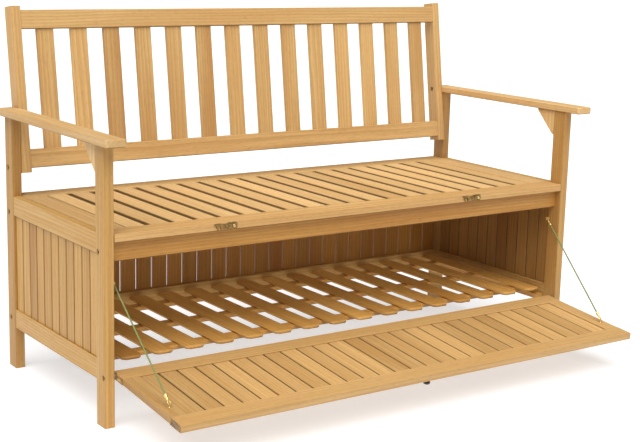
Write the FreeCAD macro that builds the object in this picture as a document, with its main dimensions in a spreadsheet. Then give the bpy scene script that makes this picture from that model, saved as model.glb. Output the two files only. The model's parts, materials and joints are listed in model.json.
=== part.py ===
"""Garden storage bench: a slatted hardwood seat with arms and a leaning back over a boarded
chest, whose front falls open on two pivot bolts and hangs on two cords.

Millimetres, +Z up, +X to the sitter's left hand as seen from the front, front towards -Y.
The bench stands on z = 0 and the origin is midway along its width and depth, front open."""
import FreeCAD, Part
import os
import re

import Sketcher

Vector = FreeCAD.Vector

# Driving sizes: name, value, what it measures
SIZES = [
    ("overall_width", 1480, "over the two arms"),
    ("frame_depth", 565, "front of the front posts to back of the rear posts"),
    ("seat_height", 455, "floor to the top of the seat"),
    ("arm_height", 677, "floor to the top of the arms"),
    ("edge_ease", 2, "eased edge of posts and rails"),
    ("board_ease", 1.5, "eased edge of boards and slats"),
    ("post_width", 25, "post, across the bench"),
    ("post_depth", 45, "post, front to back"),
    ("arm_overhang", 20, "arm past the outer face of the posts"),
    ("arm_width", 50, "arm, across the bench"),
    ("arm_thickness", 18, "arm, top to bottom"),
    ("arm_front_overhang", 54, "arm past the front of the posts"),
    ("arm_corner", 6, "rounded corner at the front of an arm"),
    ("bracket_length", 67, "bracket along the arm"),
    ("bracket_drop", 68, "bracket down the post"),
    ("bracket_thickness", 20, "bracket, across the bench"),
    ("bracket_toe", 8, "blunt end of a bracket"),
    ("lower_rail_height", 108, "floor to the underside of the lower rails"),
    ("side_rail_height", 50, "rails of the end panels"),
    ("side_rail_thickness", 22, "rails of the end panels"),
    ("side_rail_inset", 1.5, "end rails back from the outer face of the posts"),
    ("side_board_count", 11, "boards in an end panel"),
    ("side_board_gap", 3, "between the boards of an end panel"),
    ("side_board_thickness", 12, "boards of an end panel"),
    ("rear_rail_height", 48, "upper rail of the rear wall, and the apron"),
    ("rear_rail_thickness", 24, "rails of the rear wall"),
    ("rear_rail_inset", 5, "rear rails in from the back of the posts"),
    ("rear_board_count", 29, "boards of the rear wall"),
    ("rear_board_gap", 5, "between the boards of the rear wall"),
    ("rear_board_thickness", 8, "boards of the rear wall"),
    ("groove_depth", 7, "groove that takes the ends of boards"),
    ("groove_end_gap", 0.5, "room left past the end of a board or tongue"),
    ("seat_thickness", 20, "seat frame"),
    ("seat_post_gap", 1, "between the seat frame and the posts"),
    ("seat_rail_width", 61, "front and rear rails of the seat"),
    ("seat_side_rail_width", 57, "side rails of the seat"),
    ("seat_slat_count", 20, "slats of the seat"),
    ("seat_slat_gap", 15, "between the slats of the seat"),
    ("seat_slat_edge_gap", 4, "between the outer slats and the side rails"),
    ("seat_slat_thickness", 16, "slats of the seat"),
    ("seat_slat_drop", 1, "slats below the top of the seat frame"),
    ("tongue_thickness", 8, "tongue on the end of a slat"),
    ("floor_height", 146, "ground to the top of the chest floor"),
    ("floor_slat_count", 16, "slats of the chest floor"),
    ("floor_slat_width", 50, "slats of the chest floor"),
    ("floor_slat_thickness", 7, "slats of the chest floor"),
    ("floor_slat_clip", 9, "clipped corner of a floor slat"),
    ("floor_left_gap", 48.25, "first floor slat from the left end panel"),
    ("floor_right_gap", 12.25, "last floor slat from the right end panel"),
    ("floor_front_gap", 5, "floor slats behind the front posts"),
    ("floor_rear_gap", 4, "floor slats in front of the rear rail"),
    ("batten_width", 30, "battens under the floor slats"),
    ("batten_thickness", 12, "battens under the floor slats"),
    ("batten_end_gap", 1.5, "battens short of the end panels"),
    ("batten_inset", 50, "outer battens in from the ends of the floor slats"),
    ("cleat_width", 18, "cleats that carry the battens"),
    ("cleat_height", 16, "cleats that carry the battens"),
    ("back_lean", 8, "degrees that the back leans"),
    ("back_foot_inset", 54, "front foot of the back stiles in from the back of the posts"),
    ("back_foot_rise", 60, "foot of the back stiles above the seat"),
    ("stile_length", 420, "back stile"),
    ("stile_width", 25, "back stile, across the bench"),
    ("stile_depth", 44, "back stile, front to back"),
    ("back_rail_height", 48, "rails of the back"),
    ("back_rail_thickness", 22, "rails of the back"),
    ("back_rail_setback", 2, "back rails behind the front of the stiles"),
    ("back_top_margin", 10, "stile above the top rail"),
    ("back_foot_margin", 11, "stile below the bottom rail"),
    ("back_slat_count", 14, "slats of the back"),
    ("back_slat_end_gap", 42.5, "between the outer back slats and the stiles"),
    ("back_slat_width", 46, "slats of the back"),
    ("back_slat_thickness", 12, "slats of the back"),
    ("mortise_depth", 12, "mortises for the back slats"),
    ("arm_notch_gap", 1, "arm clear of the back stile"),
    ("pivot_height", 120, "floor to the pivot of the front"),
    ("door_thickness", 18, "frame of the falling front"),
    ("door_hinge_margin", 12, "front below its pivot"),
    ("door_end_gap", 6, "front clear of the posts"),
    ("door_top_gap", 6, "closed front under the seat"),
    ("door_apron_gap", 3, "closed front before the apron"),
    ("door_rail_width", 50, "rails of the front"),
    ("door_stile_width", 43, "stiles of the front"),
    ("door_board_count", 27, "boards of the front"),
    ("door_board_gap", 3, "between the boards of the front"),
    ("door_board_thickness", 12, "boards of the front, and their groove"),
    ("door_open_slope", 5.8, "degrees that the open front hangs below level"),
    ("bolt_radius", 3, "frame bolts"),
    ("bolt_head_radius", 6.8, "heads of the bolts"),
    ("bolt_head_height", 5, "heads of the bolts"),
    ("bolt_sink", 7, "counterbore for a bolt head"),
    ("bolt_clearance", 0.1, "bolt in its hole, on the radius"),
    ("bolt_grip", 40, "bolt inside a rail"),
    ("stile_grip", 18, "lower bolt inside a back stile"),
    ("arm_grip", 22, "upper bolt inside an arm"),
    ("pivot_radius", 4, "pivot bolts"),
    ("pivot_clearance", 0.05, "pivot bolt in the front, on the radius"),
    ("pivot_grip", 42, "pivot bolt inside the front"),
    ("spacer_radius", 7.5, "spacer on a pivot bolt"),
    ("spacer_clearance", 0.3, "spacer clear of the front"),
    ("latch_spacing", 766, "between the two latches"),
    ("latch_plate_length", 30, "plate of a latch"),
    ("latch_plate_height", 18, "plate of a latch"),
    ("latch_plate_thickness", 1.5, "plate of a latch"),
    ("latch_plate_lead", 10, "latch plate past its pivot"),
    ("latch_plate_corner", 4, "clipped corner of a latch plate"),
    ("hook_reach", 40, "latch pivot to the keeper"),
    ("hook_thickness", 2, "hook plate"),
    ("hook_arm_height", 10, "arm of a hook"),
    ("hook_eye_radius", 8, "round end of a hook"),
    ("hook_head_radius", 8, "catching end of a hook"),
    ("hook_tip_length", 6, "finger tip past the catching end"),
    ("hook_play", 0.2, "hook clear of its plate and screw head"),
    ("hook_bore_clearance", 0.05, "hook on its screw, on the radius"),
    ("hook_throat_clearance", 0.8, "keeper in the hook, on the radius"),
    ("latch_screw_radius", 2, "screws of the latch and its keeper"),
    ("latch_screw_head", 4, "screw heads of the latch and its keeper, radius"),
    ("latch_screw_cap", 1.6, "screw heads of the latch and its keeper, height"),
    ("latch_screw_grip", 12, "latch screws inside the wood"),
    ("knob_radius", 9, "pull knob"),
    ("knob_neck_radius", 5, "neck of the pull knob"),
    ("knob_neck_height", 6, "neck of the pull knob"),
    ("knob_height", 16, "pull knob"),
    ("knob_bevel", 3.5, "bevels of the pull knob"),
    ("knob_inset", 20, "pull knob in from the free edge of the front"),
    ("eye_inset", 40, "cord eye behind the front of its post"),
    ("eye_drop", 36, "cord eye on the post below the apron"),
    ("eye_edge_inset", 92, "cord eye on the front in from its free edge"),
    ("eye_height", 8, "middle of an eye above the wood"),
    ("ring_radius", 3.5, "rings of the cord fittings, to the middle of their section"),
    ("ring_half", 0.9, "section of the rings, half its side"),
    ("ring_clearance", 0.1, "between two linked rings"),
    ("eye_collar_radius", 2.8, "collar of a screw eye"),
    ("eye_collar_height", 1.4, "collar of a screw eye"),
    ("eye_screw_radius", 1.4, "stem and screw of a screw eye"),
    ("eye_screw_grip", 11, "screw of a screw eye"),
    ("ferrule_length", 16, "bell ferrule on a cord end"),
    ("ferrule_radius", 4.4, "mouth of a ferrule"),
    ("ferrule_neck_radius", 2.6, "neck of a ferrule"),
    ("cord_radius", 2, "stay cord"),
]

# Sizes that follow from those: name, formula, what it gives
DERIVED = [
    ("frame_half", "overall_width / 2 - arm_overhang", "middle to the outer face of the posts"),
    ("inner_half", "frame_half - post_width", "middle to the inner face of the posts"),
    ("arm_underside", "arm_height - arm_thickness", "height of the posts"),
    ("arm_length", "arm_front_overhang + frame_depth", "arm, front to back"),
    ("seat_underside", "seat_height - seat_thickness", "height of the apron and rear rail"),
    ("side_span", "frame_depth - 2 * post_depth", "between the posts of one end"),
    ("side_board_length", "seat_height - lower_rail_height - 2 * side_rail_height"
     " + 2 * groove_depth - groove_end_gap", "board of an end panel"),
    ("side_board_pitch", "side_span / side_board_count", "boards of an end panel"),
    ("apron_recess", "door_thickness + door_apron_gap", "apron behind the post fronts"),
    ("apron_thickness", "post_depth - apron_recess", "apron, front to back"),
    ("rear_rail_depth", "frame_depth - rear_rail_inset - rear_rail_thickness", "rear rails"),
    ("rear_board_length", "seat_underside - rear_rail_height - lower_rail_height"
     " - side_rail_height + 2 * groove_depth - groove_end_gap", "board of the rear wall"),
    ("rear_board_pitch", "2 * inner_half / rear_board_count", "boards of the rear wall"),
    ("seat_half", "inner_half - seat_post_gap", "middle to the end of the seat"),
    ("seat_slat_length", "frame_depth - 2 * seat_rail_width", "slat between the seat rails"),
    ("seat_slat_span", "2 * (seat_half - seat_side_rail_width - seat_slat_edge_gap)", "row of slats"),
    ("seat_slat_pitch", "(seat_slat_span + seat_slat_gap) / seat_slat_count", "slats of the seat"),
    ("tongue_length", "groove_depth - groove_end_gap", "tongue on the end of a slat"),
    ("seat_groove_rise", "(seat_thickness - tongue_thickness) / 2", "groove in the seat rails"),
    ("floor_slat_length", "rear_rail_depth - floor_rear_gap - post_depth - floor_front_gap", "floor"),
    ("batten_top", "floor_height - floor_slat_thickness", "underside of the floor slats"),
    ("cleat_top", "batten_top - batten_thickness", "underside of the battens"),
    ("end_panel_half", "frame_half - side_rail_inset - side_rail_thickness", "inside the end panels"),
    ("floor_slat_pitch", "(2 * end_panel_half - floor_left_gap - floor_right_gap - floor_slat_width)"
     " / (floor_slat_count - 1)", "slats of the chest floor"),
    ("back_foot_depth", "frame_depth - back_foot_inset", "back stiles behind the post fronts"),
    ("back_foot_height", "seat_height + back_foot_rise", "foot of the back stiles"),
    ("back_rail_half", "inner_half - stile_width", "middle to the end of the back rails"),
    ("back_slat_row", "2 * (back_rail_half - back_slat_end_gap) - back_slat_width", "first to last"),
    ("back_slat_pitch", "back_slat_row / (back_slat_count - 1)", "slats of the back"),
    ("back_top_rail_rise", "stile_length - back_top_margin - back_rail_height", "top rail"),
    ("back_bottom_rail_top", "back_foot_margin + back_rail_height", "bottom rail"),
    ("back_slat_clear", "back_top_rail_rise - back_bottom_rail_top", "slat between the back rails"),
    ("back_slat_setback", "(back_rail_thickness - back_slat_thickness) / 2", "slats in the back rails"),
    ("door_half", "inner_half - door_end_gap", "middle to the end of the front"),
    ("door_reach", "seat_underside - door_top_gap - pivot_height", "pivot to the free edge"),
    ("door_inner_clear", "door_reach + door_hinge_margin - 2 * door_rail_width", "between its rails"),
    ("door_stile_rise", "door_rail_width - door_hinge_margin", "pivot to the foot of the stiles"),
    ("door_board_span", "2 * (door_half - door_stile_width)", "boards of the front"),
    ("door_board_pitch", "door_board_span / door_board_count", "boards of the front"),
    ("door_open_angle", "90 + door_open_slope", "turn from closed to open"),
    ("door_overhang", "door_reach * cos(door_open_slope) - door_thickness / 2"
     " + (door_thickness / 2 - edge_ease) * sin(door_open_slope)", "open front past the posts"),
    ("back_overhang", "back_foot_depth + (stile_length - edge_ease) * sin(back_lean)"
     " + stile_depth * cos(back_lean)", "top of the back behind the post fronts"),
    ("front_y", "(door_overhang - back_overhang) / 2", "front face of the posts"),
    ("door_pivot_y", "front_y + door_thickness / 2", "pivot of the front"),
    ("back_foot_y", "front_y + back_foot_depth", "front foot of the back stiles"),
    ("upper_bolt_height", "seat_underside - rear_rail_height / 2", "apron and upper rear bolts"),
    ("lower_bolt_height", "lower_rail_height + side_rail_height / 2", "lower rear bolts"),
    ("stile_bolt_height", "back_foot_height + back_foot_margin", "lower bolts of the back"),
    ("rear_bolt_depth", "rear_rail_depth + rear_rail_thickness / 2", "bolts of the rear posts"),
    ("apron_bolt_depth", "apron_recess + apron_thickness / 2", "bolts of the apron"),
    ("bolt_length", "post_width - bolt_sink + bolt_grip", "under the head of a frame bolt"),
    ("stile_bolt_length", "post_width - bolt_sink + stile_grip", "lower bolts of the back"),
    ("arm_bolt_length", "stile_width - bolt_sink + arm_notch_gap + arm_grip", "upper bolts"),
    ("arm_bolt_rise", "(arm_height - arm_thickness / 2 - back_foot_height"
     " + stile_depth / 2 * sin(back_lean)) / cos(back_lean)", "upper bolts, along the stile"),
    ("arm_bolt_y", "back_foot_y + stile_depth / 2 * cos(back_lean)"
     " + arm_bolt_rise * sin(back_lean)", "upper bolts of the back"),
    ("arm_notch_x", "arm_overhang + post_width - arm_notch_gap", "arm beside the back stile"),
    ("arm_notch_y", "back_foot_depth + arm_front_overhang - arm_notch_gap"
     " + (arm_underside - back_foot_height) * tan(back_lean)", "arm before the back stile"),
    ("pivot_bolt_length", "post_width - bolt_sink + door_end_gap + pivot_grip", "pivot bolts"),
    ("latch_height", "seat_height - seat_thickness / 2", "pivot of a hook"),
    ("keeper_reach", "latch_height - hook_reach - pivot_height", "keeper from the pivot of the front"),
    ("hook_front", "latch_plate_thickness + hook_play + hook_thickness", "outer face of a hook"),
    ("latch_stand", "hook_front + hook_play", "screw head clear of the rail"),
    ("eye_height_on_post", "seat_underside - rear_rail_height - eye_drop", "cord eye on the post"),
    ("eye_reach", "door_reach - eye_edge_inset", "cord eye on the front from the pivot"),
    ("ring_hole", "ring_radius - ring_half", "hole of a ring, radius"),
    ("ring_step", "2 * sqrt(ring_hole ^ 2 - ring_half ^ 2) - ring_clearance", "two linked rings"),
]

doc = FreeCAD.newDocument("garden_storage_bench")
sheet = doc.addObject("Spreadsheet::Sheet", "Sizes")
ALIASES = {row[0] for row in SIZES + DERIVED}
nodes = []


def in_sheet(formula):
    """A formula in plain names, written with the sheet's cells."""
    return re.sub(r"[a-z_][a-z0-9_]*",
                  lambda word: "Sizes." + word.group(0) if word.group(0) in ALIASES else word.group(0),
                  formula)


def fill_sheet():
    for number, (name, value, remark) in enumerate(SIZES + DERIVED, start=1):
        sheet.set("A%d" % number, remark)
        sheet.set("B%d" % number, str(value) if (name, value, remark) in SIZES else "=" + value)
        sheet.setAlias("B%d" % number, name)
    doc.recompute()


def value(formula):
    return float(sheet.evalExpression(in_sheet(formula)))


def bind(thing, prop, formula):
    thing.setExpression(prop, in_sheet(formula))


def origin_part(body, role):
    return next(part for part in body.Origin.OriginFeatures if part.Role == role)


def new_body(label):
    body = doc.addObject("PartDesign::Body", label)
    body.Label = label
    body.AllowCompound = True
    return body


def keep(thing):
    """Marks a finished piece to be written out."""
    nodes.append(thing)
    return thing


# Frames that pieces are placed in: y and z of the frame's origin, and its turn about the x axis
BENCH = ("front_y", "0", "0")
DOOR = ("door_pivot_y", "pivot_height", "door_open_angle")
BACK = ("back_foot_y", "back_foot_height", "-back_lean")


def place(body, x, y, z, frame=BENCH, tilt=0, grouped=False):
    """Puts a piece in a frame, tilted about the x axis by that many degrees more than the frame,
    and keeps it unless a group does."""
    frame_y, frame_z, turn = frame
    body.Placement.Rotation = FreeCAD.Rotation(Vector(1, 0, 0), 1)
    bind(body, "Placement.Rotation.Angle", "%s + %d" % (turn, tilt))
    bind(body, "Placement.Base.x", x)
    bind(body, "Placement.Base.y", "%s + (%s) * cos(%s) - (%s) * sin(%s)" % (frame_y, y, turn, z, turn))
    bind(body, "Placement.Base.z", "%s + (%s) * sin(%s) + (%s) * cos(%s)" % (frame_z, y, turn, z, turn))
    return body if grouped else keep(body)


# Sketches and features
PLANES = {"X": "YZ_Plane", "Y": "XZ_Plane", "Z": "XY_Plane"}


def new_sketch(body, name, axis, offset="0"):
    """A sketch square to an axis of its body, that far along it."""
    sketch = body.newObject("Sketcher::SketchObject", body.Label + "_" + name)
    sketch.AttachmentSupport = (origin_part(body, PLANES[axis]), "")
    sketch.MapMode = "FlatFace"
    bind(sketch, "AttachmentOffset.Base.z", offset if axis != "Y" else "-(%s)" % offset)
    return sketch


def pin_point(sketch, geometry, corner, x, y):
    for kind, formula in (("DistanceX", x), ("DistanceY", y)):
        number = sketch.addConstraint(Sketcher.Constraint(kind, -1, 1, geometry, corner, value(formula)))
        bind(sketch, "Constraints[%d]" % number, formula)


def outline(sketch, points):
    """A closed outline of straight lines through points given as pairs of formulas."""
    corners = [Vector(value(x), value(y), 0) for x, y in points]
    first = sketch.GeometryCount
    count = len(points)
    for number in range(count):
        sketch.addGeometry(Part.LineSegment(corners[number], corners[(number + 1) % count]), False)
    for number, (x, y) in enumerate(points):
        following = first + (number + 1) % count
        sketch.addConstraint(Sketcher.Constraint("Coincident", first + number, 2, following, 1))
        pin_point(sketch, first + number, 1, x, y)
    return sketch


def rectangle(sketch, left, low, right, high):
    return outline(sketch, [(left, low), (right, low), (right, high), (left, high)])


def polygon(sketch, radius, sides, y="0"):
    """A regular polygon with its corners at that radius from a middle on the sketch's y axis."""
    turns = [(number + 0.5) * 360 / sides for number in range(sides)]
    return outline(sketch, [("(%s) * cos(%s)" % (radius, turn), "%s + (%s) * sin(%s)" % (y, radius, turn))
                            for turn in turns])


def circle(sketch, radius, x="0", y="0"):
    middle = Vector(value(x), value(y), 0)
    number = sketch.addGeometry(Part.Circle(middle, Vector(0, 0, 1), value(radius)), False)
    pin_point(sketch, number, 3, x, y)
    size = sketch.addConstraint(Sketcher.Constraint("Radius", number, value(radius)))
    bind(sketch, "Constraints[%d]" % size, radius)
    return sketch


def pad(body, sketch, length, axis):
    """Thickens a sketch towards the positive end of its axis."""
    feature = body.newObject("PartDesign::Pad", sketch.Name + "_pad")
    feature.Profile = sketch
    feature.Reversed = axis == "Y"
    bind(feature, "Length", length)
    return feature


def pocket(body, sketch, depth, axis, forward):
    """Cuts a sketch in, forward along its axis or back along it."""
    feature = body.newObject("PartDesign::Pocket", sketch.Name + "_cut")
    feature.Profile = sketch
    feature.Reversed = forward == (axis != "Y")
    bind(feature, "Length", depth)
    return feature


def bore(body, name, axis, offset, radius, depth, spots, forward):
    """Round holes of one depth, at spots in the plane square to an axis."""
    sketch = new_sketch(body, name, axis, offset)
    for x, y in spots:
        circle(sketch, radius, x, y)
    return pocket(body, sketch, depth, axis, forward)


def revolve(body, name, points):
    """A turned piece: an outline of radius and height, spun about the body's z axis."""
    sketch = outline(new_sketch(body, name, "Y"), points)
    feature = body.newObject("PartDesign::Revolution", body.Label + "_" + name + "_turn")
    feature.Profile = sketch
    feature.ReferenceAxis = (sketch, ["V_Axis"])
    feature.Angle = 360
    return feature


def row(body, axis, pitch, count):
    """Repeats a whole piece along an axis, as separate solids."""
    feature = body.newObject("PartDesign::LinearPattern", body.Label + "_row")
    feature.TransformMode = "Whole shape"
    feature.Direction = (origin_part(body, axis + "_Axis"), [""])
    bind(feature, "Length", "(%s) * (%s - 1)" % (pitch, count))
    bind(feature, "Occurrences", count)
    body.Tip = feature
    return feature


def edges_where(feature, test):
    doc.recompute()
    return ["Edge%d" % number for number, edge in enumerate(feature.Shape.Edges, start=1) if test(edge)]


def along(axis):
    """Picks straight edges that run along an axis."""
    def test(edge):
        run = edge.Vertexes[-1].Point - edge.Vertexes[0].Point
        return run.Length > 0 and abs(getattr(run, axis)) > 0.999 * run.Length
    return test


def dress(body, kind, feature, edges, prop, formula):
    dressed = body.newObject("PartDesign::" + kind, feature.Name + "_" + kind.lower())
    dressed.Base = (feature, edges)
    bind(dressed, prop, formula)
    return dressed


def eased_section(width, height, ease, groove=None):
    """The section of a board with eased edges, and a groove in one side where it has one.
    A groove is its side, its near edge, its width and its depth."""
    sides = {
        "bottom": [(ease, "0"), ("%s - %s" % (width, ease), "0")],
        "right": [(width, ease), (width, "%s - %s" % (height, ease))],
        "top": [("%s - %s" % (width, ease), height), (ease, height)],
        "left": [("0", "%s - %s" % (height, ease)), ("0", ease)],
    }
    if groove is not None:
        side, near, opening, depth = groove
        far = "%s + %s" % (near, opening)
        cuts = {
            "bottom": [(near, "0"), (near, depth), (far, depth), (far, "0")],
            "right": [(width, near), ("%s - %s" % (width, depth), near),
                      ("%s - %s" % (width, depth), far), (width, far)],
            "top": [(far, height), (far, "%s - %s" % (height, depth)),
                    (near, "%s - %s" % (height, depth)), (near, height)],
            "left": [("0", far), (depth, far), (depth, near), ("0", near)],
        }
        sides[side][1:1] = cuts[side]
    return sides["bottom"] + sides["right"] + sides["top"] + sides["left"]


def plank(label, axis, length, width, height, ease="board_ease", groove=None, tongue=None):
    """A board along an axis, its section from the origin out. A tongue, on both ends, is its
    near edge and its thickness in the section's second direction."""
    body = new_body(label)
    section = new_sketch(body, "section", axis)
    if ease is None:
        rectangle(section, "0", "0", width, height)
    else:
        outline(section, eased_section(width, height, ease, groove))
    pad(body, section, length, axis)
    if tongue is not None:
        near, thickness = tongue
        far = "%s + %s" % (near, thickness)
        ends = rectangle(new_sketch(body, "tongue", axis, "-tongue_length"), "0", near, width, far)
        pad(body, ends, "%s + 2 * tongue_length" % length, axis)
    return body


def side_x(side, inset, width):
    """The low x of a piece whose outer face is set in from the outer face of the posts."""
    if side == "left":
        return "-frame_half + %s" % inset
    return "frame_half - (%s) - (%s)" % (inset, width)


def group(label, bodies):
    """Identical small pieces that share one name."""
    together = doc.addObject("Part::Compound", label)
    together.Label = label
    together.Links = bodies
    return keep(together)


SIDES = ("left", "right")


def post(side, end, depth, bolt_spots):
    """An upright with a counterbored hole for each bolt through its outer face."""
    label = "%s_%s_post" % (end, side)
    body = plank(label, "Z", "arm_underside", "post_width", "post_depth", "edge_ease")
    outer = "0" if side == "left" else "post_width"
    inward = side == "left"
    heads = [(y, z) for y, z, radius in bolt_spots]
    bore(body, "heads", "X", outer, "bolt_head_radius + bolt_clearance", "bolt_sink", heads, inward)
    for number, (y, z, radius) in enumerate(bolt_spots, start=1):
        hole = radius + " + bolt_clearance"
        bore(body, "hole%d" % number, "X", outer, hole, "post_width", [(y, z)], inward)
    if end == "front":
        inner = "post_width" if side == "left" else "0"
        bore(body, "eye", "X", inner, "eye_screw_radius + bolt_clearance", "eye_screw_grip + bolt_clearance",
             [("eye_inset", "eye_height_on_post")], not inward)
    return place(body, side_x(side, "0", "post_width"), depth, "0")


def arm(side):
    """A flat arm with rounded front corners, cut back beside the stile of the back."""
    body = new_body(side + "_arm")
    corners = [("0", "0"), ("arm_width", "0"), ("arm_width", "arm_notch_y"), ("arm_notch_x", "arm_notch_y"),
               ("arm_notch_x", "arm_length"), ("0", "arm_length")]
    if side == "right":
        corners = [("arm_width - %s" % x, y) for x, y in corners]
    board = pad(body, outline(new_sketch(body, "plan", "Z"), corners), "arm_thickness", "Z")
    front = edges_where(board, lambda edge: along("z")(edge) and edge.BoundBox.YMax < value("arm_corner"))
    rounded = dress(body, "Fillet", board, front, "Radius", "arm_corner")
    notch = value("arm_notch_y")
    rim = edges_where(rounded, lambda edge: edge.BoundBox.ZLength < value("edge_ease") / 2
                      and edge.BoundBox.YMin < notch - value("arm_notch_gap"))
    dress(body, "Chamfer", rounded, rim, "Size", "edge_ease")
    bolt_face = "arm_notch_x" if side == "left" else "arm_width - arm_notch_x"
    bore(body, "bolt", "X", bolt_face, "bolt_radius + bolt_clearance", "arm_grip + groove_end_gap",
         [("arm_bolt_y - front_y + arm_front_overhang", "arm_thickness / 2")], side == "right")
    left_edge = "-overall_width / 2" if side == "left" else "overall_width / 2 - arm_width"
    return place(body, left_edge, "-arm_front_overhang", "arm_underside")


def bracket(side):
    """A blunt triangle behind a front post, under the arm."""
    body = new_body(side + "_arm_bracket")
    corners = [("0", "0"), ("bracket_toe", "0"), ("bracket_length", "bracket_drop - bracket_toe"),
               ("bracket_length", "bracket_drop"), ("0", "bracket_drop")]
    block = pad(body, outline(new_sketch(body, "side", "X"), corners), "bracket_thickness", "X")
    slanted = edges_where(block, lambda edge: min(edge.BoundBox.YLength, edge.BoundBox.ZLength) > 1)
    dress(body, "Chamfer", block, slanted, "Size", "edge_ease")
    inset = "(post_width - bracket_thickness) / 2"
    return place(body, side_x(side, inset, "bracket_thickness"), "post_depth", "arm_underside - bracket_drop")


def end_panel(side):
    """Two rails between the posts of one end, and upright boards in their grooves."""
    lip = "(side_rail_thickness - side_board_thickness) / 2"
    at_x = side_x(side, "side_rail_inset", "side_rail_thickness")
    for name, face, height in (("top", "bottom", "seat_height - side_rail_height"),
                               ("bottom", "top", "lower_rail_height")):
        rail = plank("%s_end_%s_rail" % (side, name), "Y", "side_span", "side_rail_thickness",
                     "side_rail_height", "edge_ease",
                     groove=(face, lip, "side_board_thickness", "groove_depth"))
        place(rail, at_x, "post_depth", height)
    boards = plank(side + "_end_boards", "Z", "side_board_length", "side_board_thickness",
                   "side_board_pitch - side_board_gap")
    row(boards, "Y", "side_board_pitch", "side_board_count")
    place(boards, "%s + %s" % (at_x, lip), "post_depth + side_board_gap / 2",
          "lower_rail_height + side_rail_height - groove_depth")


def bolt_ends(rail, half, spot):
    """Holes in both ends of a long rail for the bolts that hold it."""
    radius = "bolt_radius + bolt_clearance"
    depth = "bolt_grip + groove_end_gap"
    bore(rail, "left_hole", "X", "0", radius, depth, [spot], True)
    bore(rail, "right_hole", "X", "2 * " + half, radius, depth, [spot], False)


def rear_wall():
    """Two rails between the rear posts, and upright boards in their grooves with gaps for air."""
    lip = "(rear_rail_thickness - rear_board_thickness) / 2"
    rails = [("top", "bottom", "rear_rail_height", "seat_underside - rear_rail_height"),
             ("bottom", "top", "side_rail_height", "lower_rail_height")]
    for name, face, tall, height in rails:
        rail = plank("rear_%s_rail" % name, "X", "2 * inner_half", "rear_rail_thickness", tall, "edge_ease",
                     groove=(face, lip, "rear_board_thickness", "groove_depth"))
        bolt_ends(rail, "inner_half", ("rear_rail_thickness / 2", tall + " / 2"))
        place(rail, "-inner_half", "rear_rail_depth", height)
    boards = plank("rear_boards", "Z", "rear_board_length", "rear_board_pitch - rear_board_gap",
                   "rear_board_thickness", ease=None)
    row(boards, "X", "rear_board_pitch", "rear_board_count")
    place(boards, "-inner_half + rear_board_gap / 2", "rear_rail_depth + " + lip,
          "lower_rail_height + side_rail_height - groove_depth")


def apron():
    """The rail behind the closed front, bolted between the front posts under the seat."""
    rail = plank("front_apron", "X", "2 * inner_half", "apron_thickness", "rear_rail_height", "edge_ease")
    bolt_ends(rail, "inner_half", ("apron_thickness / 2", "rear_rail_height / 2"))
    place(rail, "-inner_half", "apron_recess", "seat_underside - rear_rail_height")


def seat():
    """A framed panel: front and rear rails, side rails between them and a row of slats."""
    for name, face, depth in (("front", "right", "0"), ("rear", "left", "frame_depth - seat_rail_width")):
        rail = plank("seat_%s_rail" % name, "X", "2 * seat_half", "seat_rail_width", "seat_thickness",
                     "edge_ease", groove=(face, "seat_groove_rise", "tongue_thickness", "groove_depth"))
        if name == "front":
            spots = [("seat_half %s latch_spacing / 2" % sign, "seat_thickness / 2") for sign in "-+"]
            bore(rail, "latch", "Y", "0", "latch_screw_radius + bolt_clearance",
                 "latch_screw_grip + groove_end_gap", spots, True)
        place(rail, "-seat_half", depth, "seat_underside")
    for side in SIDES:
        rail = plank(side + "_seat_rail", "Y", "seat_slat_length", "seat_side_rail_width", "seat_thickness",
                     "edge_ease", tongue=("seat_groove_rise", "tongue_thickness"))
        at_x = "-seat_half" if side == "left" else "seat_half - seat_side_rail_width"
        place(rail, at_x, "seat_rail_width", "seat_underside")
    tongue_rise = "seat_groove_rise - seat_thickness + seat_slat_drop + seat_slat_thickness"
    slats = plank("seat_slats", "Y", "seat_slat_length", "seat_slat_pitch - seat_slat_gap",
                  "seat_slat_thickness", tongue=(tongue_rise, "tongue_thickness"))
    row(slats, "X", "seat_slat_pitch", "seat_slat_count")
    place(slats, "-seat_slat_span / 2", "seat_rail_width",
          "seat_height - seat_slat_drop - seat_slat_thickness")


def chest_floor():
    """Spaced slats with clipped corners on three battens, which lie on cleats along the ends."""
    front = "post_depth + floor_front_gap"
    slats = new_body("floor_slats")
    clip = "floor_slat_clip"
    wide = "floor_slat_width"
    long = "floor_slat_length"
    corners = [(clip, "0"), ("%s - %s" % (wide, clip), "0"), (wide, clip), (wide, "%s - %s" % (long, clip)),
               ("%s - %s" % (wide, clip), long), (clip, long), ("0", "%s - %s" % (long, clip)), ("0", clip)]
    pad(slats, outline(new_sketch(slats, "plan", "Z"), corners), "floor_slat_thickness", "Z")
    row(slats, "X", "floor_slat_pitch", "floor_slat_count")
    place(slats, "-end_panel_half + floor_left_gap", front, "batten_top")
    for name, depth in (("front", "batten_inset"), ("middle", "(floor_slat_length - batten_width) / 2"),
                        ("rear", "floor_slat_length - batten_inset - batten_width")):
        batten = plank(name + "_floor_batten", "X", "2 * (end_panel_half - batten_end_gap)", "batten_width",
                       "batten_thickness")
        place(batten, "-end_panel_half + batten_end_gap", "%s + %s" % (front, depth), "cleat_top")
    for side in SIDES:
        cleat = plank(side + "_floor_cleat", "Y", "side_span - 2 * floor_front_gap", "cleat_width",
                      "cleat_height")
        at_x = "-end_panel_half" if side == "left" else "end_panel_half - cleat_width"
        place(cleat, at_x, front, "cleat_top - cleat_height")


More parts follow.
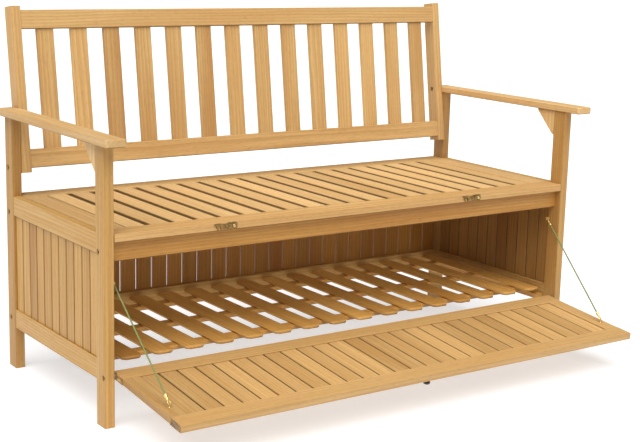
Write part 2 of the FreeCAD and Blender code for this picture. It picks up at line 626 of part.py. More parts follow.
def back_stile(side):
    """A leaning upright on the inner face of a rear post, bolted to the post and to the arm."""
    body = plank(side + "_back_stile", "Z", "stile_length", "stile_width", "stile_depth", "edge_ease")
    outer = "0" if side == "left" else "stile_width"
    inner = "stile_width" if side == "left" else "0"
    inward = side == "left"
    run = "(rear_bolt_depth - back_foot_depth)"
    rise = "(stile_bolt_height - back_foot_height)"
    low_spot = ("%s * cos(back_lean) - %s * sin(back_lean)" % (run, rise),
                "%s * sin(back_lean) + %s * cos(back_lean)" % (run, rise))
    high_spot = ("stile_depth / 2", "arm_bolt_rise")
    radius = "bolt_radius + bolt_clearance"
    bore(body, "low_hole", "X", outer, radius, "stile_grip + groove_end_gap", [low_spot], inward)
    bore(body, "head", "X", inner, "bolt_head_radius + bolt_clearance", "bolt_sink", [high_spot], not inward)
    bore(body, "high_hole", "X", inner, radius, "stile_width", [high_spot], not inward)
    place(body, side_x(side, "post_width", "stile_width"), "0", "0", BACK)


def back_panel():
    """Two rails between the leaning stiles, with a mortise for each slat, and the slats."""
    left = "back_rail_half - back_slat_row / 2 - back_slat_width / 2"
    right = "back_rail_half - back_slat_row / 2 + back_slat_width / 2"
    near = "back_slat_setback"
    far = "back_slat_setback + back_slat_thickness"
    for name, face, rise, forward in (("top", "0", "back_top_rail_rise", True),
                                      ("bottom", "back_rail_height", "back_foot_margin", False)):
        rail = plank("back_%s_rail" % name, "X", "2 * back_rail_half", "back_rail_thickness",
                     "back_rail_height", "edge_ease")
        mouth = rectangle(new_sketch(rail, "mortise", "Z", face), left, near, right, far)
        mortise = pocket(rail, mouth, "mortise_depth", "Z", forward)
        mortises = rail.newObject("PartDesign::LinearPattern", rail.Label + "_mortises")
        mortises.Originals = [mortise]
        mortises.Direction = (origin_part(rail, "X_Axis"), [""])
        bind(mortises, "Length", "back_slat_row")
        bind(mortises, "Occurrences", "back_slat_count")
        rail.Tip = mortises
        place(rail, "-back_rail_half", "back_rail_setback", rise, BACK)
    slats = plank("back_slats", "Z", "back_slat_clear + 2 * mortise_depth - groove_end_gap",
                  "back_slat_width", "back_slat_thickness")
    row(slats, "X", "back_slat_pitch", "back_slat_count")
    place(slats, "-back_slat_row / 2 - back_slat_width / 2", "back_rail_setback + back_slat_setback",
          "back_bottom_rail_top - mortise_depth", BACK)


def bolt(label, radius, length, x, y, z, points_right, turned=False):
    """A hexagon bolt lying across the bench, with the seat of its head at the given place.
    Its shank is round where something turns on it, and otherwise has eight sides."""
    body = new_body(label)
    head = polygon(new_sketch(body, "head", "Z", "-bolt_head_height"), "bolt_head_radius", 6)
    pad(body, head, "bolt_head_height", "Z")
    shank = new_sketch(body, "shank", "Z")
    if turned:
        circle(shank, radius)
    else:
        polygon(shank, radius, 8)
    pad(body, shank, length, "Z")
    body.Placement.Rotation = FreeCAD.Rotation(Vector(0, 1, 0), 90 if points_right else -90)
    bind(body, "Placement.Base.x", x)
    bind(body, "Placement.Base.y", y)
    bind(body, "Placement.Base.z", z)
    return body


def bolts():
    """Bolts from outside through the posts, and from inside through the stiles into the arms."""
    frame_bolts = []
    stile_bolts = []
    arm_bolts = []
    for side in SIDES:
        right = side == "left"
        seat_x = "-frame_half + bolt_sink" if right else "frame_half - bolt_sink"
        inner_x = "-back_rail_half - bolt_sink" if right else "back_rail_half + bolt_sink"
        for name, depth, height in (("apron", "apron_bolt_depth", "upper_bolt_height"),
                                    ("upper", "rear_bolt_depth", "upper_bolt_height"),
                                    ("lower", "rear_bolt_depth", "lower_bolt_height")):
            frame_bolts.append(bolt("%s_%s_bolt" % (side, name), "bolt_radius", "bolt_length", seat_x,
                                    "front_y + " + depth, height, right))
        stile_bolts.append(bolt(side + "_stile_bolt", "bolt_radius", "stile_bolt_length", seat_x,
                                "front_y + rear_bolt_depth", "stile_bolt_height", right))
        arm_bolts.append(bolt(side + "_arm_bolt", "bolt_radius", "arm_bolt_length", inner_x, "arm_bolt_y",
                              "arm_height - arm_thickness / 2", not right))
        keep(bolt(side + "_pivot_bolt", "pivot_radius", "pivot_bolt_length", seat_x, "door_pivot_y",
                  "pivot_height", right, turned=True))
    group("frame_bolts", frame_bolts)
    group("stile_bolts", stile_bolts)
    group("arm_bolts", arm_bolts)


def spacer(side):
    """A sleeve on the pivot bolt between the post and the front."""
    body = new_body(side + "_pivot_spacer")
    rings = circle(circle(new_sketch(body, "rings", "X"), "spacer_radius"), "pivot_radius + bolt_clearance")
    pad(body, rings, "door_end_gap - spacer_clearance", "X")
    at_x = "-inner_half" if side == "left" else "door_half + spacer_clearance"
    place(body, at_x, "door_thickness / 2", "pivot_height")


def front():
    """The falling front: two long rails, a stile at each end and upright boards between,
    all housed in the grooves of the rails."""
    lip = "(door_thickness - door_board_thickness) / 2"
    back_face = "-door_thickness / 2"
    for name, face, rise in (("hinge", "top", "-door_hinge_margin"),
                             ("outer", "bottom", "door_reach - door_rail_width")):
        rail = plank("door_%s_rail" % name, "X", "2 * door_half", "door_thickness", "door_rail_width",
                     "edge_ease", groove=(face, lip, "door_board_thickness", "groove_depth"))
        if name == "hinge":
            spot = ("door_thickness / 2", "door_hinge_margin")
            radius = "pivot_radius + pivot_clearance"
            depth = "pivot_grip + groove_end_gap"
            bore(rail, "left_pivot", "X", "0", radius, depth, [spot], True)
            bore(rail, "right_pivot", "X", "2 * door_half", radius, depth, [spot], False)
        else:
            spots = [("door_half %s latch_spacing / 2" % sign, "keeper_reach - door_reach + door_rail_width")
                     for sign in "-+"]
            bore(rail, "keepers", "Y", "0", "latch_screw_radius + bolt_clearance",
                 "latch_screw_grip + groove_end_gap", spots, True)
        place(rail, "-door_half", back_face, rise, DOOR)
    for side in SIDES:
        stile = plank(side + "_door_stile", "Z", "door_inner_clear", "door_stile_width", "door_thickness",
                      "edge_ease", tongue=(lip, "door_board_thickness"))
        bore(stile, "eye", "Y", "door_thickness", "eye_screw_radius + bolt_clearance",
             "eye_screw_grip + bolt_clearance",
             [("door_stile_width / 2", "eye_reach - door_stile_rise")], False)
        at_x = "-door_half" if side == "left" else "door_half - door_stile_width"
        place(stile, at_x, back_face, "door_stile_rise", DOOR)
    boards = plank("door_boards", "Z", "door_inner_clear + 2 * tongue_length",
                   "door_board_pitch - door_board_gap", "door_board_thickness")
    row(boards, "X", "door_board_pitch", "door_board_count")
    place(boards, "-door_board_span / 2 + door_board_gap / 2", "-door_board_thickness / 2",
          "door_stile_rise - tongue_length", DOOR)


def knob():
    """A turned and bevelled pull on the outer face of the front."""
    body = new_body("door_knob")
    revolve(body, "profile", [("0", "0"), ("knob_neck_radius", "0"), ("knob_neck_radius", "knob_neck_height"),
                              ("knob_radius", "knob_neck_height + knob_bevel"),
                              ("knob_radius", "knob_height - knob_bevel"),
                              ("knob_radius - knob_bevel", "knob_height"), ("0", "knob_height")])
    place(body, "0", "-door_thickness / 2", "door_reach - knob_inset", DOOR, tilt=90)


def headed_screw(label):
    """A screw that stands off the wood by the thickness of a hook, with an eight-sided head."""
    body = new_body(label)
    shank = circle(new_sketch(body, "shank", "Z", "-latch_screw_grip"), "latch_screw_radius")
    pad(body, shank, "latch_screw_grip + latch_stand", "Z")
    head = polygon(new_sketch(body, "head", "Z", "latch_stand"), "latch_screw_head", 8)
    pad(body, head, "latch_screw_cap", "Z")
    return body


def latch(side, middle):
    """A hook on a plate under the seat's edge, and the keeper that it catches on the front.
    The hook lies to the left; its throat opens downwards, the way that it swings."""
    plate = new_body(side + "_latch_plate")
    pivot = [("0", "0")]
    face = rectangle(new_sketch(plate, "face", "Y"), "latch_plate_lead - latch_plate_length",
                     "-latch_plate_height / 2", "latch_plate_lead", "latch_plate_height / 2")
    blank = pad(plate, face, "latch_plate_thickness", "Y")
    dress(plate, "Chamfer", blank, edges_where(blank, along("y")), "Size", "latch_plate_corner")
    bore(plate, "hole", "Y", "0", "latch_screw_radius + bolt_clearance", "latch_plate_thickness", pivot, True)
    place(plate, middle, "-latch_plate_thickness", "latch_height", grouped=True)

    hook = new_body(side + "_hook")
    tip = "-hook_reach - hook_head_radius - hook_tip_length"
    half = "hook_arm_height / 2"
    shapes = [
        rectangle(new_sketch(hook, "arm", "Y"), "-hook_reach", "-" + half, "0", half),
        circle(new_sketch(hook, "eye", "Y"), "hook_eye_radius"),
        circle(new_sketch(hook, "head", "Y"), "hook_head_radius", "-hook_reach"),
        outline(new_sketch(hook, "tip", "Y"), [(tip, half), ("-hook_reach", "0"),
                                               ("-hook_reach", "hook_head_radius"),
                                               (tip, "hook_head_radius")]),
    ]
    for shape in shapes:
        pad(hook, shape, "hook_thickness", "Y")
    throat = "(latch_screw_radius + hook_throat_clearance)"
    bore(hook, "bed", "Y", "0", throat, "hook_thickness", [("-hook_reach", "0")], True)
    mouth = rectangle(new_sketch(hook, "throat", "Y"), "-hook_reach - " + throat, "-2 * hook_head_radius",
                      "-hook_reach + " + throat, "0")
    pocket(hook, mouth, "hook_thickness", "Y", True)
    bore(hook, "bore", "Y", "0", "latch_screw_radius + hook_bore_clearance", "hook_thickness", pivot, True)
    place(hook, middle, "-hook_front", "latch_height")

    screw = headed_screw(side + "_latch_screw")
    place(screw, middle, "0", "latch_height", tilt=90, grouped=True)
    place(headed_screw(side + "_keeper"), middle, "-door_thickness / 2", "keeper_reach", DOOR, tilt=90)
    return plate, screw


def ring(body, height):
    """An eight-sided ring of square section, edge on to the body's y axis, with its middle at that height."""
    hoop = new_sketch(body, "ring", "Y", "-ring_half")
    for reach in ("ring_radius + ring_half", "ring_hole"):
        polygon(hoop, "(%s) / cos(22.5)" % reach, 8, height)
    pad(body, hoop, "2 * ring_half", "Y")


def screw_eye(label):
    """A screw eye standing on the wood at its body's origin."""
    body = new_body(label)
    stem = polygon(new_sketch(body, "stem", "Z", "-eye_screw_grip"), "eye_screw_radius", 6)
    pad(body, stem, "eye_screw_grip + eye_height - ring_radius", "Z")
    collar = polygon(new_sketch(body, "collar", "Z"), "eye_collar_radius", 6)
    pad(body, collar, "eye_collar_height", "Z")
    ring(body, "eye_height")
    return body


def ferrule(label):
    """A bell crimped on the end of a cord, with a ring at the body's origin."""
    body = new_body(label)
    neck = polygon(new_sketch(body, "neck", "Z", "ring_radius"), "ferrule_neck_radius", 6)
    pad(body, neck, "ferrule_length", "Z")
    bell = polygon(new_sketch(body, "bell", "Z", "ring_radius + ferrule_length / 3"), "ferrule_radius", 6)
    pad(body, bell, "2 / 3 * ferrule_length", "Z")
    ring(body, "0")
    return body


def turned_to(up, towards):
    """The turn that puts z along up and x as near as it goes to another direction."""
    z_axis = Vector(up).normalize()
    x_axis = (towards - z_axis * towards.dot(z_axis)).normalize()
    return FreeCAD.Rotation(x_axis, z_axis.cross(x_axis), z_axis, "ZXY")


def stays():
    """Two cords, each with a ferrule at both ends, between an eye on a post and one on the front."""
    open_turn = FreeCAD.Rotation(Vector(1, 0, 0), value("door_open_angle"))
    pivot = Vector(0, value("door_pivot_y"), value("pivot_height"))
    pieces = {"post_eyes": [], "door_eyes": [], "post_ferrules": [], "door_ferrules": []}
    for side in SIDES:
        outward = -1 if side == "left" else 1
        post_foot = Vector(outward * value("inner_half"), value("front_y + eye_inset"),
                           value("eye_height_on_post"))
        door_foot = pivot + open_turn.multVec(Vector(outward * value("door_half - door_stile_width / 2"),
                                                     value("door_thickness / 2"), value("eye_reach")))
        ends = {"post": (post_foot, Vector(-outward, 0, 0)),
                "door": (door_foot, open_turn.multVec(Vector(0, 1, 0)))}
        middles = {name: foot + stem * value("eye_height") for name, (foot, stem) in ends.items()}
        for name, other in (("post", "door"), ("door", "post")):
            foot, stem = ends[name]
            pull = (middles[other] - middles[name]).normalize()
            eye = screw_eye("%s_%s_eye" % (side, name))
            eye.Placement = FreeCAD.Placement(foot, turned_to(stem, pull))
            pieces[name + "_eyes"].append(eye)
            end = ferrule("%s_%s_ferrule" % (side, name))
            link = middles[name] + pull * value("ring_step")
            end.Placement = FreeCAD.Placement(link, turned_to(pull, pull.cross(stem)))
            pieces[name + "_ferrules"].append(end)
        line = middles["door"] - middles["post"]
        run = FreeCAD.Rotation(Vector(0, 0, 1), line)
        fitting = value("ring_step + ring_radius + ferrule_length")
        cord = doc.addObject("Part::Cylinder", side + "_cord")
        cord.Label = side + "_cord"
        bind(cord, "Radius", "cord_radius")
        cord.Height = line.Length - 2 * fitting
        cord.Placement = FreeCAD.Placement(middles["post"] + line.normalize() * fitting, run)
        keep(cord)
        print(cord.Label, "free length", round(cord.Height.Value, 2))
    for label, bodies in pieces.items():
        group(label, bodies)


def build():
    fill_sheet()
    front_bolts = [("apron_bolt_depth", "upper_bolt_height", "bolt_radius"),
                   ("door_thickness / 2", "pivot_height", "pivot_radius")]
    rear_depth = "frame_depth - post_depth"
    rear_bolts = [("rear_bolt_depth - frame_depth + post_depth", height, "bolt_radius")
                  for height in ("upper_bolt_height", "lower_bolt_height", "stile_bolt_height")]
    for side in SIDES:
        post(side, "front", "0", front_bolts)
        post(side, "rear", rear_depth, rear_bolts)
        arm(side)
        bracket(side)
        end_panel(side)
        back_stile(side)
        spacer(side)
    rear_wall()
    apron()
    seat()
    chest_floor()
    back_panel()
    bolts()
    front()
    knob()
    fittings = [latch(side, "%slatch_spacing / 2" % sign) for side, sign in zip(SIDES, ("-", ""))]
    group("latch_plates", [plate for plate, screw in fittings])
    group("latch_screws", [screw for plate, screw in fittings])
    stays()
    doc.recompute()


def check_pieces():
    for thing in doc.Objects:
        if "Invalid" in thing.State or "Error" in thing.State:
            raise RuntimeError("%s failed: %s" % (thing.Label, thing.State))
        if thing.TypeId == "PartDesign::Pocket" and thing.Shape.Volume >= thing.BaseFeature.Shape.Volume:
            raise RuntimeError("%s cuts nothing" % thing.Label)
    for node in nodes:
        if node.Shape.isNull() or not node.Shape.isValid() or not node.Shape.Solids:
            raise RuntimeError("%s has no sound solid" % node.Label)


def write_pieces():
    os.makedirs("parts", exist_ok=True)
    for node in nodes:
        node.Shape.exportStep("parts/%s.step" % node.Label)
    print(len(nodes), "pieces written")


build()
check_pieces()
write_pieces()
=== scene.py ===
import json
import math
import random

import bpy
from mathutils import Matrix, Quaternion, Vector

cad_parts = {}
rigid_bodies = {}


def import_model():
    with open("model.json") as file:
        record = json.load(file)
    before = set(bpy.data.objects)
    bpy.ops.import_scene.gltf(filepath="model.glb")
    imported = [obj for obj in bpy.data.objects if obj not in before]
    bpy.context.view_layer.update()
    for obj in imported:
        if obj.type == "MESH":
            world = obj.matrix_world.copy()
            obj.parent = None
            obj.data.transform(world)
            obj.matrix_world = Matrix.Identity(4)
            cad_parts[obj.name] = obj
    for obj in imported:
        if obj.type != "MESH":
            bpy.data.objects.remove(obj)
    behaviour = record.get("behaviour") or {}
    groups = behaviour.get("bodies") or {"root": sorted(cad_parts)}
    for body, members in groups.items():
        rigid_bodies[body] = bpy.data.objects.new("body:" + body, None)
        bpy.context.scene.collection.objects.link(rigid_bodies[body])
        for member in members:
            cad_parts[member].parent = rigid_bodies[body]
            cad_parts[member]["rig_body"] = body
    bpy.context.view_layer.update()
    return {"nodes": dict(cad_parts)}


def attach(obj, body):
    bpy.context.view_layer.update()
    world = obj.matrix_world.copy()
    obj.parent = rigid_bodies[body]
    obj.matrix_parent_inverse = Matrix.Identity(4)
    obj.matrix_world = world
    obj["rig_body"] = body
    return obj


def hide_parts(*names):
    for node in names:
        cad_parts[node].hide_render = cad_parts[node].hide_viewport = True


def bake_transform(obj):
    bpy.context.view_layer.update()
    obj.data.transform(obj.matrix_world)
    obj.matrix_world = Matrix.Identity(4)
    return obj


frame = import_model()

# Four posts. Straight uprights of oiled hardwood, planed and rubbed round on every edge, with a sunk
# bolt hole for each rail that they carry. The front two hold the arms, the rear two the back as well.
ease_width = 0.004
ease_angle = 50
square_on = 0.9
end_grain_dark = 0.1
# painted shade on faces that look down
underside_shade = 0.65
tone_spread = 0.26
ring_width = 0.0075
ring_wander = 0.016
post_pale = (0.59, 0.355, 0.113)
post_deep = (0.40, 0.206, 0.053)
post_ruddy = (0.435, 0.20, 0.05)


def only(piece):
    """Leaves one piece selected and active."""
    bpy.ops.object.select_all(action="DESELECT")
    piece.select_set(True)
    bpy.context.view_layer.objects.active = piece


def whole_copy(node):
    """A copy of a piece's own shape, with its faces joined and made whole."""
    piece = bpy.data.objects.new(node + "_finished", frame["nodes"][node].data.copy())
    bpy.context.scene.collection.objects.link(piece)
    piece.data.materials.clear()
    only(piece)
    bpy.ops.object.mode_set(mode="EDIT")
    bpy.ops.mesh.select_all(action="SELECT")
    bpy.ops.mesh.remove_doubles(threshold=0.00001)
    bpy.ops.object.mode_set(mode="OBJECT")
    return piece


def standing_for(piece, node):
    """Lets a piece move with a solid and stand in its place."""
    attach(piece, frame["nodes"][node]["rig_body"])
    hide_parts(node)


def eased(piece, upright):
    """Shades the narrow slopes along a wooden piece's edges as rounded, and keeps its flat faces flat.
    upright turns its lean away."""
    for face in piece.data.polygons:
        corners = [piece.data.vertices[number].co for number in face.vertices]
        longest = max((first - second).length for first in corners for second in corners)
        sloping = max(abs(part) for part in upright @ face.normal) < square_on
        face.select = sloping and 2 * face.area < ease_width * longest
    bpy.ops.object.shade_smooth_by_angle(angle=math.radians(ease_angle))
    bpy.ops.object.mode_set(mode="EDIT")
    bpy.ops.mesh.select_mode(type="FACE")
    bpy.ops.mesh.mod_weighted_strength(set=True, face_strength="WEAK")
    bpy.ops.mesh.select_all(action="INVERT")
    bpy.ops.mesh.mod_weighted_strength(set=True, face_strength="STRONG")
    bpy.ops.object.mode_set(mode="OBJECT")
    shading = piece.modifiers.new("shading", "WEIGHTED_NORMAL")
    shading.use_face_influence = True
    shading.keep_sharp = True
    bpy.ops.object.modifier_apply(modifier=shading.name)


def boards_of(mesh):
    """The vertices of each separate board in a mesh, as lists of their numbers."""
    beside = [[] for vertex in mesh.vertices]
    for edge in mesh.edges:
        first, second = edge.vertices
        beside[first].append(second)
        beside[second].append(first)
    found = []
    seen = [False] * len(beside)
    for start in range(len(beside)):
        if seen[start]:
            continue
        seen[start] = True
        board = [start]
        for number in board:
            for other in beside[number]:
                if not seen[other]:
                    seen[other] = True
                    board.append(other)
        found.append(board)
    return found


def timber(node, finish, along, turn=0.0, joints=None, joint_shade=0.0, inside=0, inside_shade=0.0):
    """A wooden piece: each board gets the run of its grain, cut from its own place in the log, and a tone
    of its own. Its end grain is darker, and painted shade darkens its underside, the sides of boards set
    along an axis where they face the joints between them, and its faces turned into the chest. turn is
    how far it leans about x, and inside is the side in x that the chest shelters."""
    piece = whole_copy(node)
    upright = Matrix.Rotation(-math.radians(turn), 3, "X")
    eased(piece, upright)
    standing_for(piece, node)
    piece.data.materials.append(finish)
    order = {"X": (0, 1, 2), "Y": (1, 0, 2), "Z": (2, 0, 1)}[along]
    places = [upright @ vertex.co for vertex in piece.data.vertices]
    piece.data.attributes.new("grain", "FLOAT_VECTOR", "POINT")
    piece.data.attributes.new("tone", "FLOAT", "POINT")
    # per face: darker end grain, plus painted shade on undersides, joint sides and inward faces
    piece.data.attributes.new("end_grain_and_shade", "FLOAT", "FACE")
    grain = piece.data.attributes["grain"]
    tone = piece.data.attributes["tone"]
    end_grain_and_shade = piece.data.attributes["end_grain_and_shade"]
    chance = random.Random(node)
    for board in boards_of(piece.data):
        middle = sum((places[number] for number in board), Vector()) / len(board)
        log_side = chance.choice((-1, 1))
        log_place = Vector((chance.uniform(0, 9), log_side * chance.uniform(0.03, 0.11),
                            chance.uniform(0.02, 0.10)))
        shade = chance.gauss(0.5, tone_spread)
        for number in board:
            place = places[number] - middle
            grain.data[number].vector = Vector([place[axis] for axis in order]) + log_place
            tone.data[number].value = shade
    for face in piece.data.polygons:
        facing = upright @ face.normal
        dark = end_grain_dark if abs(facing[order[0]]) > square_on else 0.0
        # painted shade: faces that look down are darkened
        if facing.z < -0.5:
            dark = max(dark, underside_shade)
        # painted shade: faces turned into the chest are darkened
        if inside * facing.x > 0.5:
            dark = inside_shade
        # painted shade: board sides that face the gaps between boards are darkened
        beside_joint = abs(facing["XYZ".index(joints)]) if joints else 0.0
        if beside_joint > 0.5:
            dark = joint_shade * beside_joint ** 2
        end_grain_and_shade.data[face.index].value = dark


def add_node(tree, kind, sockets=None, **settings):
    """A shader node with its settings, each socket given a value or another node's output."""
    node = tree.nodes.new("ShaderNode" + kind)
    for name, setting in settings.items():
        setattr(node, name, setting)
    for socket, given in (sockets or {}).items():
        if isinstance(given, bpy.types.NodeSocket):
            tree.links.new(given, node.inputs[socket])
        else:
            node.inputs[socket].default_value = given
    return node


def new_material(name):
    """A material with its nodes and its shader."""
    material = bpy.data.materials.new(name)
    material.use_nodes = True
    return material, material.node_tree, material.node_tree.nodes["Principled BSDF"]


def mottle(tree, place, stretch, detail, low, high):
    """Noise stretched along the grain, from 0 to 1 between two of its levels."""
    stretched = add_node(tree, "VectorMath", {0: place, 1: stretch}, operation="MULTIPLY")
    noise = add_node(tree, "TexNoise", {"Vector": stretched.outputs[0], "Scale": 1.0, "Detail": detail})
    level = add_node(tree, "MapRange", {"Value": noise.outputs[0], "From Min": low, "From Max": high})
    return level.outputs[0]


def mixed(tree, share, first, second):
    """A colour that goes from the first to the second by a share."""
    mix = add_node(tree, "Mix", {0: share, 6: first, 7: second}, data_type="RGBA")
    return mix.outputs[2]


def times(tree, first, second):
    """The product of two values."""
    return add_node(tree, "Math", {0: first, 1: second}, operation="MULTIPLY").outputs[0]


def oiled_wood(name, pale, deep, ruddy):
    """Oiled hardwood: growth rings about the heart of the log, fibres and short dark pores along the
    grain, slow drifts of colour, darker end grain, and painted shade on the faces the piece marks for it."""
    material, tree, shader = new_material(name)
    grain = add_node(tree, "Attribute", attribute_name="grain").outputs["Vector"]
    tone = add_node(tree, "Attribute", attribute_name="tone").outputs["Fac"]
    # per-face darkening: darker end grain plus painted shade
    end_grain_and_shade = add_node(tree, "Attribute", attribute_name="end_grain_and_shade").outputs["Fac"]
    slow = add_node(tree, "VectorMath", {0: grain, 1: (1.6, 9.0, 9.0)}, operation="MULTIPLY")
    wander = add_node(tree, "TexNoise", {"Vector": slow.outputs[0], "Scale": 1.0, "Detail": 2.0})
    bent = add_node(tree, "VectorMath", {0: wander.outputs[1], 1: (0.0, ring_wander, ring_wander), 2: grain},
                    operation="MULTIPLY_ADD")
    across = add_node(tree, "VectorMath", {0: bent.outputs[0], 1: (0.0, 1.0, 1.0)}, operation="MULTIPLY")
    radius = add_node(tree, "VectorMath", {0: across.outputs[0]}, operation="LENGTH").outputs["Value"]
    years = add_node(tree, "Math", {0: radius, 1: ring_width}, operation="DIVIDE").outputs[0]
    year = add_node(tree, "Math", {0: years}, operation="FRACT").outputs[0]
    rings = add_node(tree, "ValToRGB", {0: year})
    rings.color_ramp.elements[0].color = (0, 0, 0, 1)
    rings.color_ramp.elements[1].position = 0.82
    late = rings.color_ramp.elements.new(0.97)
    late.color = (0.1, 0.1, 0.1, 1)
    fibres = mottle(tree, bent.outputs[0], (4.0, 210.0, 210.0), 3.0, 0.38, 0.68)
    drift = mottle(tree, grain, (2.2, 26.0, 26.0), 2.0, 0.35, 0.7)
    pores = mottle(tree, grain, (55.0, 1500.0, 1500.0), 0.0, 0.62, 0.72)

    pore_shade = [0.45 * part for part in deep]
    # colour of the darker end grain and of the painted shade on undersides, inner faces and board joints
    shade_and_end_grain_colour = [0.25 * part for part in deep]
    clear = mixed(tree, times(tree, rings.outputs[0], 0.6), (*pale, 1), (*deep, 1))
    stringy = mixed(tree, times(tree, fibres, 0.4), clear, (*deep, 1))
    warm = mixed(tree, times(tree, drift, tone), stringy, (*ruddy, 1))
    porous = mixed(tree, times(tree, pores, 0.3), warm, (*pore_shade, 1))
    with_end_grain_and_shade = mixed(tree, end_grain_and_shade, porous, (*shade_and_end_grain_colour, 1))
    depth = add_node(tree, "MapRange", {"Value": tone, "To Min": 1.13, "To Max": 0.87})
    colour = add_node(tree, "HueSaturation", {"Value": depth.outputs[0], "Color": with_end_grain_and_shade})
    tree.links.new(colour.outputs[0], shader.inputs["Base Color"])
    sheen = add_node(tree, "MapRange", {"Value": fibres, "To Min": 0.42, "To Max": 0.6})
    tree.links.new(sheen.outputs[0], shader.inputs["Roughness"])
    relief = add_node(tree, "Math", {0: pores, 1: -1.5, 2: fibres}, operation="MULTIPLY_ADD")
    bump = add_node(tree, "Bump", {"Strength": 0.12, "Distance": 0.0006, "Height": relief.outputs[0]})
    tree.links.new(bump.outputs[0], shader.inputs["Normal"])
    shader.inputs["Specular IOR Level"].default_value = 0.35
    return material


post_wood = oiled_wood("oiled_post_wood", post_pale, post_deep, post_ruddy)
for end in ("front", "rear"):
    for side in ("left", "right"):
        timber("%s_%s_post" % (end, side), post_wood, "Z")

# End panels. Two rails tenoned between the posts of each end, grooved to hold a row of narrow upright
# boards that stand a hair apart. All of the same oiled hardwood as the posts.
# Painted shade: the boards' sides at their gaps and their faces inside the chest are darkened.
panel_joint_shade = 0.7
panel_inside_shade = 0.35
panel_wood = oiled_wood("oiled_panel_wood", (0.62, 0.367, 0.111), (0.415, 0.212, 0.056),
                        (0.455, 0.216, 0.054))
for side, inside in (("left", 1), ("right", -1)):
    timber(side + "_end_top_rail", post_wood, "Y")
    timber(side + "_end_bottom_rail", post_wood, "Y")
    timber(side + "_end_boards", panel_wood, "Z", joints="Y", joint_shade=panel_joint_shade,
           inside=inside, inside_shade=panel_inside_shade)

# Rear wall. Two grooved rails bolted between the rear posts, and thin upright boards let into them
# with gaps for air. The boards are painted a deeper brown than the other wood, as painted shade for the
# inside of the chest.
for rail in ("rear_top_rail", "rear_bottom_rail"):
    timber(rail, post_wood, "X")
shade_darkened_wood = oiled_wood("rear_wood_painted_shade", (0.48, 0.235, 0.046), (0.32, 0.135, 0.024),
                        (0.37, 0.143, 0.024))
timber("rear_boards", shade_darkened_wood, "Z")

# Chest floor. Spaced slats with clipped corners, nailed to three battens that lie on a cleat along
# each end. Plainer, browner wood than the seat.
floor_wood = oiled_wood("oiled_floor_wood", (0.72, 0.40, 0.105), (0.50, 0.235, 0.050),
                        (0.54, 0.235, 0.045))
for side in ("left", "right"):
    timber(side + "_floor_cleat", floor_wood, "Y")
for place in ("front", "middle", "rear"):
    timber(place + "_floor_batten", floor_wood, "X")
timber("floor_slats", floor_wood, "Y")

# Front apron. One deep rail of oiled hardwood, planed on all its faces and bolted between the front
# posts under the seat, where it takes the seat's weight and hides behind the closed front.
apron_wood = oiled_wood("oiled_apron_wood", (0.60, 0.315, 0.074), (0.41, 0.182, 0.036),
                        (0.45, 0.178, 0.034))
timber("front_apron", apron_wood, "X")

# Seat. A framed panel: front and rear rails, side rails between them, and a row of slats tongued
# into the front and rear rails. The palest wood of the bench, since the top is seen in full light.
# Painted shade: the sides of the slats at the gaps between them are darkened.
seat_joint_shade = 0.75
seat_wood = oiled_wood("oiled_seat_wood", (0.75, 0.49, 0.222), (0.49, 0.285, 0.098), (0.58, 0.32, 0.108))
seat_rail_wood = oiled_wood("oiled_seat_rail_wood", (0.735, 0.455, 0.185), (0.48, 0.265, 0.083),
                            (0.565, 0.298, 0.092))
for rail in ("seat_front_rail", "seat_rear_rail"):
    timber(rail, seat_rail_wood, "X")
for side in ("left", "right"):
    timber(side + "_seat_rail", seat_wood, "Y")
timber("seat_slats", seat_wood, "Y", joints="X", joint_shade=seat_joint_shade)

# Arms. A flat board on each pair of posts, its front corners rounded, cut back beside the stile of
# the back, with a cut-off triangle behind the front post to stiffen it.
arm_wood = oiled_wood("oiled_arm_wood", (0.80, 0.54, 0.255), (0.59, 0.36, 0.138), (0.63, 0.36, 0.127))
for side in ("left", "right"):
    timber(side + "_arm", arm_wood, "Y")
    timber(side + "_arm_bracket", arm_wood, "Z")

# Back. Leaning stiles bolted to the rear posts and the arms, two rails between them, and slats in
# mortises. Its boards differ most in tone, from straw to a reddish brown.
back_lean = -8.0
back_wood = oiled_wood("oiled_back_wood", (0.70, 0.445, 0.182), (0.45, 0.255, 0.083), (0.48, 0.23, 0.066))
for side in ("left", "right"):
    timber(side + "_back_stile", back_wood, "Z", back_lean)
for rail in ("back_top_rail", "back_bottom_rail"):
    timber(rail, back_wood, "X", back_lean)
timber("back_slats", back_wood, "Z", back_lean)

# Falling front. Two long rails, a stile at each end and a row of boards housed in the rails' grooves.
# It turns on the pivot bolts at its lower edge and hangs open a little below level.
front_turn = 95.8
# Painted shade: the sides of the door boards at the gaps between them are darkened.
front_joint_shade = 0.7
front_wood = oiled_wood("oiled_front_wood", (0.60, 0.37, 0.146), (0.405, 0.225, 0.072),
                        (0.45, 0.235, 0.07))
for rail in ("door_hinge_rail", "door_outer_rail"):
    timber(rail, front_wood, "X", front_turn)
for side in ("left", "right"):
    timber(side + "_door_stile", front_wood, "Z", front_turn)
timber("door_boards", front_wood, "Z", front_turn, joints="X", joint_shade=front_joint_shade)

# Bolts. Round-headed steel bolts with a hexagon socket, sunk in the posts and stiles, and the two
# longer ones that the front turns on. Their dull bronze plating has darkened.
bolt_head = 0.0066
bolt_head_height = 0.005
bolt_socket = 0.0030
bolt_socket_depth = 0.0026
bolt_point = 0.0006
bolt_rim = 0.0004
bolt_crown = [(0.0, 0.0016), (0.0004, 0.0008), (0.0012, 0.0002), (0.0020, 0.0)]
bolt_sides = 32


